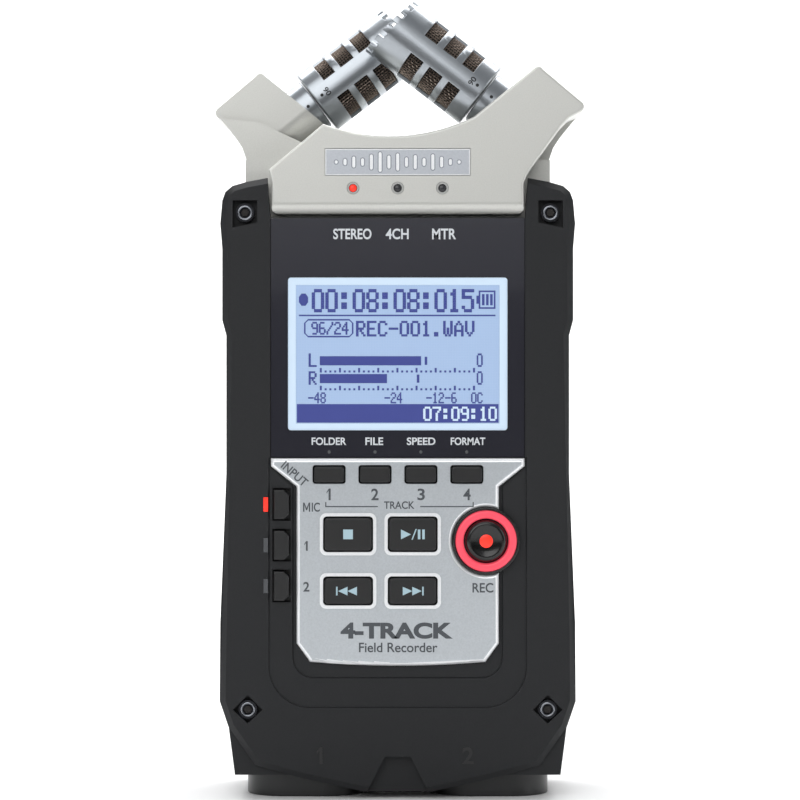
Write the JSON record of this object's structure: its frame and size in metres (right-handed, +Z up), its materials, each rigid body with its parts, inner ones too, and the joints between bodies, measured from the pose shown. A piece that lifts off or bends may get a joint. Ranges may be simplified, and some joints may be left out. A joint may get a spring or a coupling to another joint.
{
  "type": "portable field recorder",
  "caption": "Hand-held stereo audio recorder with crossed turning microphones, backlit display, transport keys, side rockers, dial, card slot and combined line and microphone sockets.",
  "frame": {"origin": "middle of the footprint, on the surface the recorder stands on", "axes": "+X to the user's right, -Y out of the face with the display, +Z up towards the microphones"},
  "size_m": [0.073, 0.037, 0.1577],
  "materials": {
    "casing": "rubber-coated moulded ABS",
    "window": "tinted acrylic",
    "lcd_glass": "backlit liquid crystal cell",
    "lcd_border": "light guide",
    "panel": "silver satin paint",
    "stand": "satin champagne-silver paint on die casting",
    "badge": "satin",
    "mic_metal": "turned and bright satin",
    "mesh": "woven mesh",
    "capsule": "turned",
    "keys": "moulded satin black",
    "red_ring": "lit translucent ring",
    "rim": "moulded black",
    "lenses": "light guides",
    "dial": "moulded",
    "steel": "plated",
    "boards": "glass-epoxy board",
    "tray": "moulded",
    "cells": "AA cells",
    "brass": "turned, threaded 1/4-20",
    "screws": "black-oxide socket head",
    "sockets": "glass-filled nylon",
    "tabs": "moulded",
    "card": "moulded card"
  },
  "bodies": {
    "root": {"badge_plate": "badge", "battery_cells": "cells", "battery_contacts": "steel", "battery_tray": "tray", "card_socket": "steel", "combo_jack_left": "sockets", "combo_jack_right": "sockets", "control_panel": "panel", "display_window": "window", "ext_mic_jack": "sockets", "front_screws": "screws", "front_shell": "casing", "input_lenses": "lenses", "jack_bezels": "sockets", "key_board": "boards", "lcd_frame": "lcd_border", "lcd_panel": "lcd_glass", "left_mic_collar": "mic_metal", "main_board": "boards", "mic_stand": "stand", "phones_jack": "sockets", "rear_shell": "casing", "record_bezel": "rim", "record_ring": "red_ring", "right_mic_collar": "mic_metal", "speaker": "tray", "status_lenses": "lenses", "track_lenses": "lenses", "tripod_insert": "brass", "usb_socket": "steel"},
    "left_mic": {"left_mic_barrel": "mic_metal", "left_mic_mesh": "mesh", "left_mic_capsule": "capsule"},
    "right_mic": {"right_mic_barrel": "mic_metal", "right_mic_mesh": "mesh", "right_mic_capsule": "capsule"},
    "track_button_1": {"track_button_1": "keys"},
    "track_button_2": {"track_button_2": "keys"},
    "track_button_3": {"track_button_3": "keys"},
    "track_button_4": {"track_button_4": "keys"},
    "stop_button": {"stop_button": "keys"},
    "play_button": {"play_button": "keys"},
    "rewind_button": {"rewind_button": "keys"},
    "forward_button": {"forward_button": "keys"},
    "record_button": {"record_button": "keys"},
    "mic_button": {"mic_button": "keys"},
    "input_1_button": {"input_1_button": "keys"},
    "input_2_button": {"input_2_button": "keys"},
    "menu_button": {"menu_button": "keys"},
    "volume_rocker": {"volume_rocker": "keys"},
    "level_rocker": {"level_rocker": "keys"},
    "dial_axle": {"dial_axle": "steel"},
    "menu_dial": {"menu_dial": "dial"},
    "power_switch": {"power_switch": "keys"},
    "battery_door": {"battery_door": "casing"},
    "card_cover": {"card_cover": "casing"},
    "memory_card": {"memory_card": "card"},
    "jack_release_left": {"jack_release_left": "tabs"},
    "jack_release_right": {"jack_release_right": "tabs"}
  },
  "joints": [
    {"name": "left_mic_turn", "type": "hinge", "parent": "root", "child": "left_mic", "pos_m": [-0.0165, 0.0064, 0.1389], "axis": [0.7934, 0, 0.6088], "range_deg": [-180, 0]},
    {"name": "right_mic_turn", "type": "hinge", "parent": "root", "child": "right_mic", "pos_m": [0.0165, -0.008, 0.1389], "axis": [-0.7934, 0, 0.6088], "range_deg": [0, 180]},
    {"name": "track_1_press", "type": "slide", "parent": "root", "child": "track_button_1", "axis": [0, 1, 0], "range_m": [0, 0.0005], "stiffness_N_per_m": 1500},
    {"name": "track_2_press", "type": "slide", "parent": "root", "child": "track_button_2", "axis": [0, 1, 0], "range_m": [0, 0.0005], "stiffness_N_per_m": 1500},
    {"name": "track_3_press", "type": "slide", "parent": "root", "child": "track_button_3", "axis": [0, 1, 0], "range_m": [0, 0.0005], "stiffness_N_per_m": 1500},
    {"name": "track_4_press", "type": "slide", "parent": "root", "child": "track_button_4", "axis": [0, 1, 0], "range_m": [0, 0.0005], "stiffness_N_per_m": 1500},
    {"name": "stop_press", "type": "slide", "parent": "root", "child": "stop_button", "axis": [0, 1, 0], "range_m": [0, 0.0005], "stiffness_N_per_m": 1500},
    {"name": "play_press", "type": "slide", "parent": "root", "child": "play_button", "axis": [0, 1, 0], "range_m": [0, 0.0005], "stiffness_N_per_m": 1500},
    {"name": "rewind_press", "type": "slide", "parent": "root", "child": "rewind_button", "axis": [0, 1, 0], "range_m": [0, 0.0005], "stiffness_N_per_m": 1500},
    {"name": "forward_press", "type": "slide", "parent": "root", "child": "forward_button", "axis": [0, 1, 0], "range_m": [0, 0.0005], "stiffness_N_per_m": 1500},
    {"name": "record_press", "type": "slide", "parent": "root", "child": "record_button", "axis": [0, 1, 0], "range_m": [0, 0.0005], "stiffness_N_per_m": 1500},
    {"name": "mic_press", "type": "slide", "parent": "root", "child": "mic_button", "axis": [0, 1, 0], "range_m": [0, 0.0005], "stiffness_N_per_m": 1500},
    {"name": "input_1_press", "type": "slide", "parent": "root", "child": "input_1_button", "axis": [0, 1, 0], "range_m": [0, 0.0005], "stiffness_N_per_m": 1500},
    {"name": "input_2_press", "type": "slide", "parent": "root", "child": "input_2_button", "axis": [0, 1, 0], "range_m": [0, 0.0005], "stiffness_N_per_m": 1500},
    {"name": "menu_press", "type": "slide", "parent": "root", "child": "menu_button", "axis": [-1, 0, 0], "range_m": [0, 0.0005], "stiffness_N_per_m": 1500},
    {"name": "volume_tip", "type": "hinge", "parent": "root", "child": "volume_rocker", "pos_m": [-0.032, 0.006, 0.07845], "axis": [0, 1, 0], "range_deg": [-3, 3], "stiffness_Nm_per_rad": 0.1},
    {"name": "level_tip", "type": "hinge", "parent": "root", "child": "level_rocker", "pos_m": [0.032, 0.006, 0.0766], "axis": [0, 1, 0], "range_deg": [-3, 3], "stiffness_Nm_per_rad": 0.1},
    {"name": "dial_press", "type": "slide", "parent": "root", "child": "dial_axle", "axis": [-1, 0, 0], "range_m": [0, 0.0005], "stiffness_N_per_m": 1500},
    {"name": "dial_turn", "type": "hinge", "parent": "dial_axle", "child": "menu_dial", "pos_m": [0.0295, 0.006, 0.1057], "axis": [0, 1, 0], "continuous": true},
    {"name": "power_slide", "type": "slide", "parent": "root", "child": "power_switch", "axis": [0, 0, 1], "range_m": [-0.003, 0.003]},
    {"name": "door_slide", "type": "slide", "parent": "root", "child": "battery_door", "axis": [0, 0, -1], "range_m": [0, 0.006]},
    {"name": "cover_swing", "type": "hinge", "parent": "root", "child": "card_cover", "pos_m": [0.0341, 0.006, 0.0277], "axis": [0, 1, 0], "range_deg": [0, 90]},
    {"name": "card_push", "type": "slide", "parent": "root", "child": "memory_card", "axis": [1, 0, 0], "range_m": [-0.001, 0.0012], "stiffness_N_per_m": 200},
    {"name": "release_left_push", "type": "slide", "parent": "root", "child": "jack_release_left", "axis": [0, 0, 1], "range_m": [0, 0.0004], "stiffness_N_per_m": 500},
    {"name": "release_right_push", "type": "slide", "parent": "root", "child": "jack_release_right", "axis": [0, 0, 1], "range_m": [0, 0.0004], "stiffness_N_per_m": 500}
  ]
}
